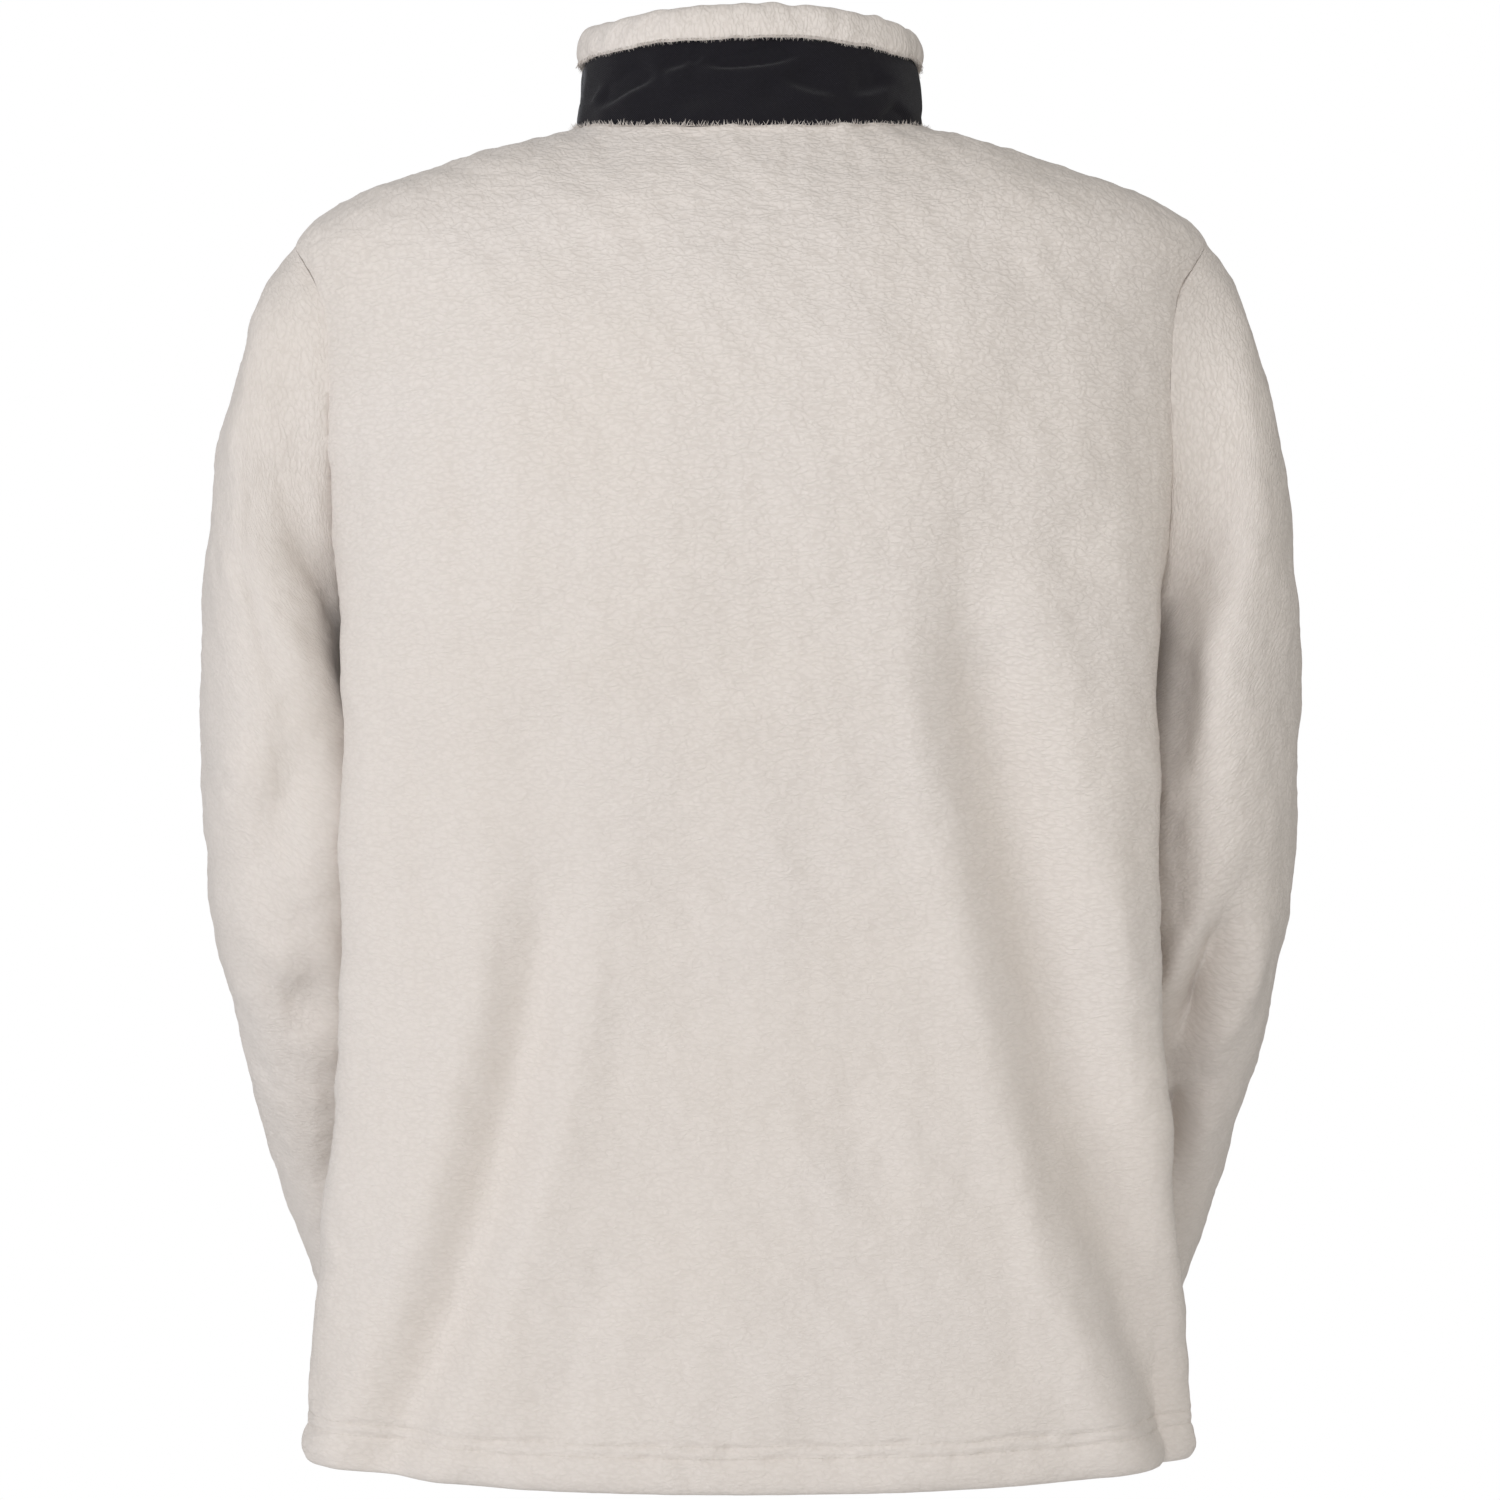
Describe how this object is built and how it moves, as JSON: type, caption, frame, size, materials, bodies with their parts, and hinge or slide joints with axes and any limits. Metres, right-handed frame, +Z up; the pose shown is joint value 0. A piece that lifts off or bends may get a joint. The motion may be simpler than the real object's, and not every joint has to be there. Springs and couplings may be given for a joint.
{
  "type": "fleece jacket",
  "caption": "Zip-front pile fleece jacket with a woven stand-up collar panel, set-in sleeves and stitched hems, shown worn and filled out with no wearer",
  "frame": {"origin": "middle of the neck opening at the height where the collar's side seams meet the shoulders, where the wearer's neck and shoulders hold it", "axes": "+Z up, the front with its zip faces -Y, the wearer's left is +X"},
  "size_m": [0.5716, 0.3452, 0.7554],
  "materials": {
    "fleece": "curly pile, matte",
    "woven": "plain weave, matte",
    "zip_tape": "woven tape",
    "zip_teeth": "moulded",
    "zip_metal": "satin"
  },
  "bodies": {
    "garment": {"back": "fleece", "left_front": "fleece", "right_front": "fleece", "left_sleeve": "fleece", "right_sleeve": "fleece", "collar_fleece": "fleece", "collar_panel": "woven", "zip_tape_left": "zip_tape", "zip_tape_right": "zip_tape", "zip_box": "zip_teeth", "zip_chain": "zip_teeth", "zip_slider": "zip_metal"},
    "tab": {"pull_tab": "zip_metal"}
  },
  "joints": [
    {"name": "tab_hinge", "type": "hinge", "parent": "garment", "child": "tab", "pos_m": [0, -0.07831, -0.01271], "axis": [-1, 0, 0], "range_deg": [0, 160]}
  ]
}
